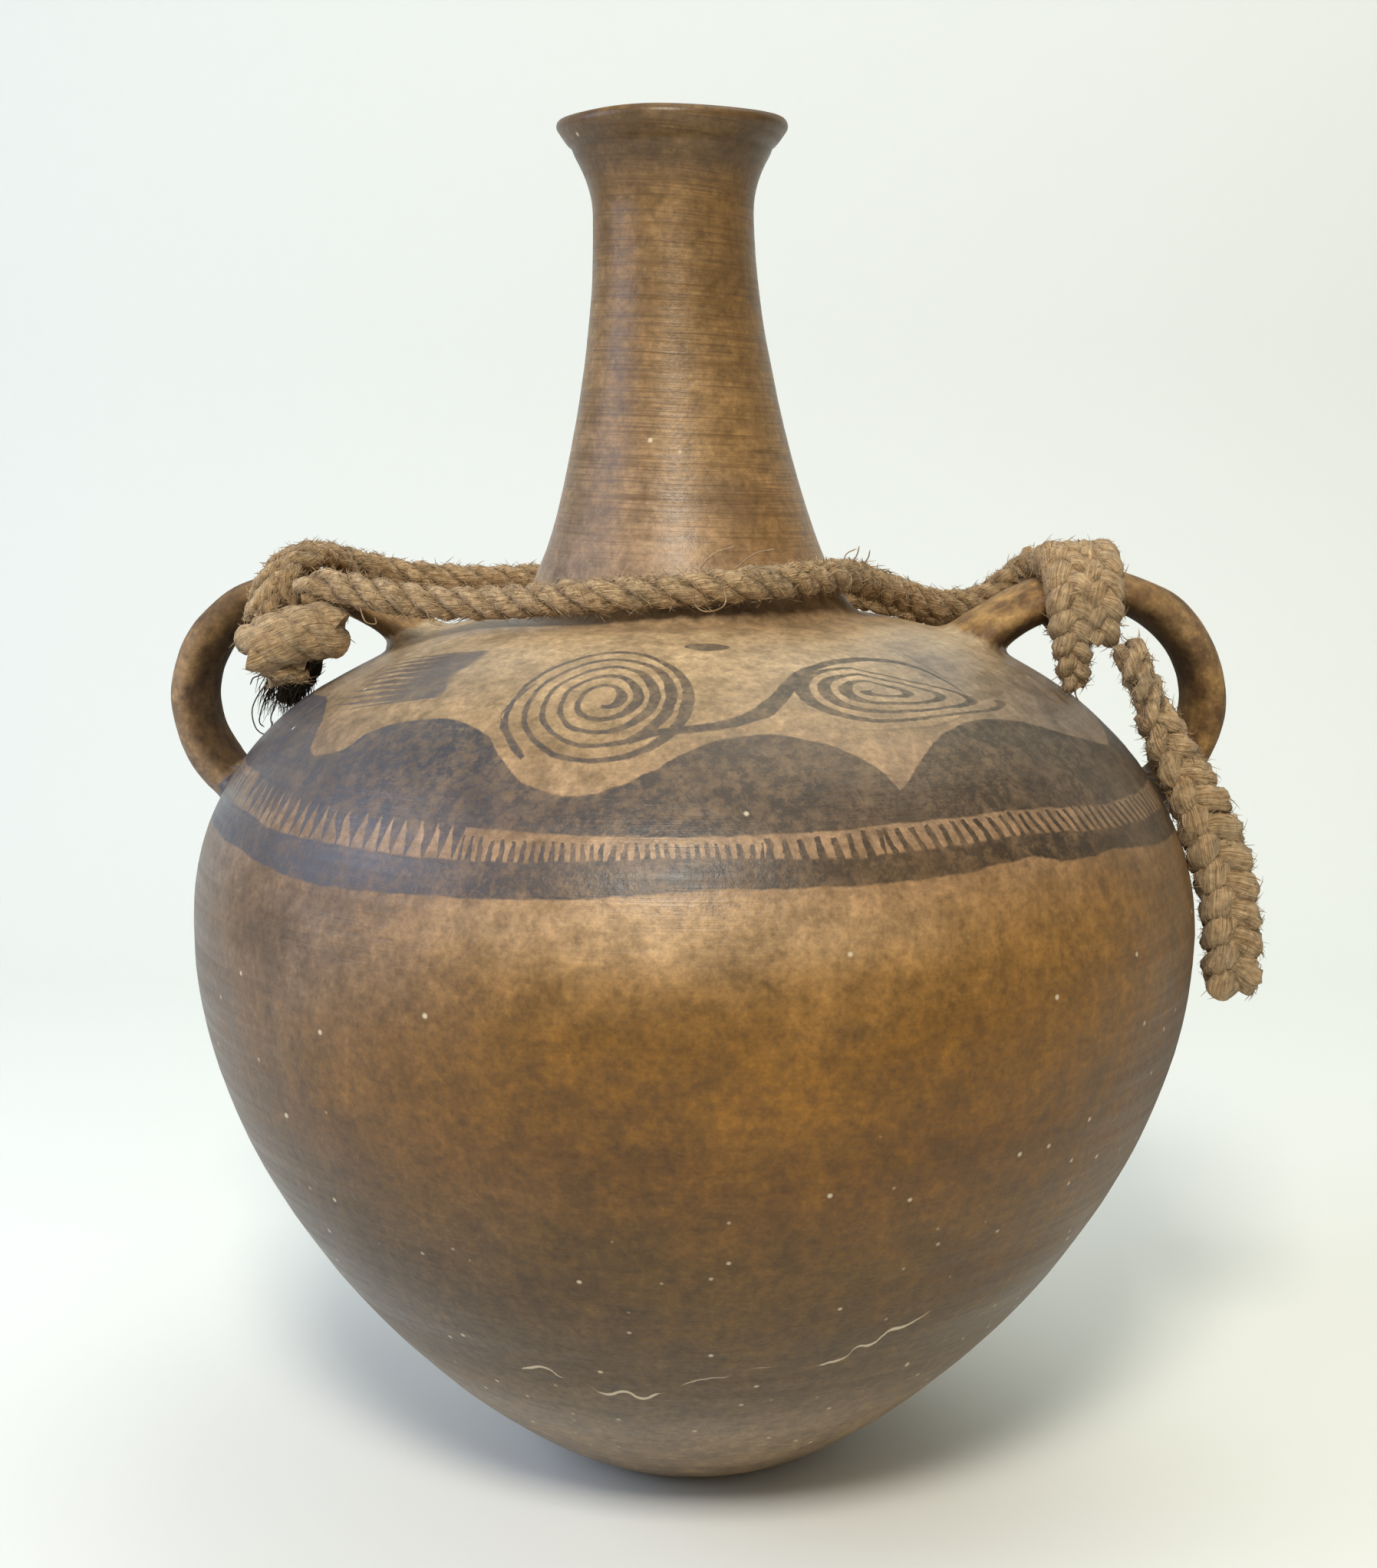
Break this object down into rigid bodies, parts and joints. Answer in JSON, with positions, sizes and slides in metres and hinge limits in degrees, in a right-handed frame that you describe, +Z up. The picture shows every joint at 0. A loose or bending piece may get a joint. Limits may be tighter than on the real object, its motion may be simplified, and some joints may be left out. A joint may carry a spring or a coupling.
{
  "type": "spouted jar",
  "caption": "Hand-built earthenware jar with an ovoid belly on a small flat base, a tall flaring neck, strap handles on the shoulder and a fibre rope tied between them.",
  "frame": {"origin": "middle of the jar's underside, on the surface that it stands on", "axes": "+Z up along the jar, +X to the right handle, the painted front faces -Y"},
  "size_m": [0.3009, 0.2754, 0.3687],
  "materials": {
    "earthenware": "burnished low-fired clay, ochre brown with grey-violet smoke and dark painted bands",
    "rope": "hairy twisted and plaited plant fibre"
  },
  "bodies": {
    "root": {"jar": "earthenware", "rope_front": "rope", "rope_back": "rope", "rope_tail": "rope", "rope_knot_left": "rope", "rope_knot_right": "rope"}
  },
  "joints": []
}
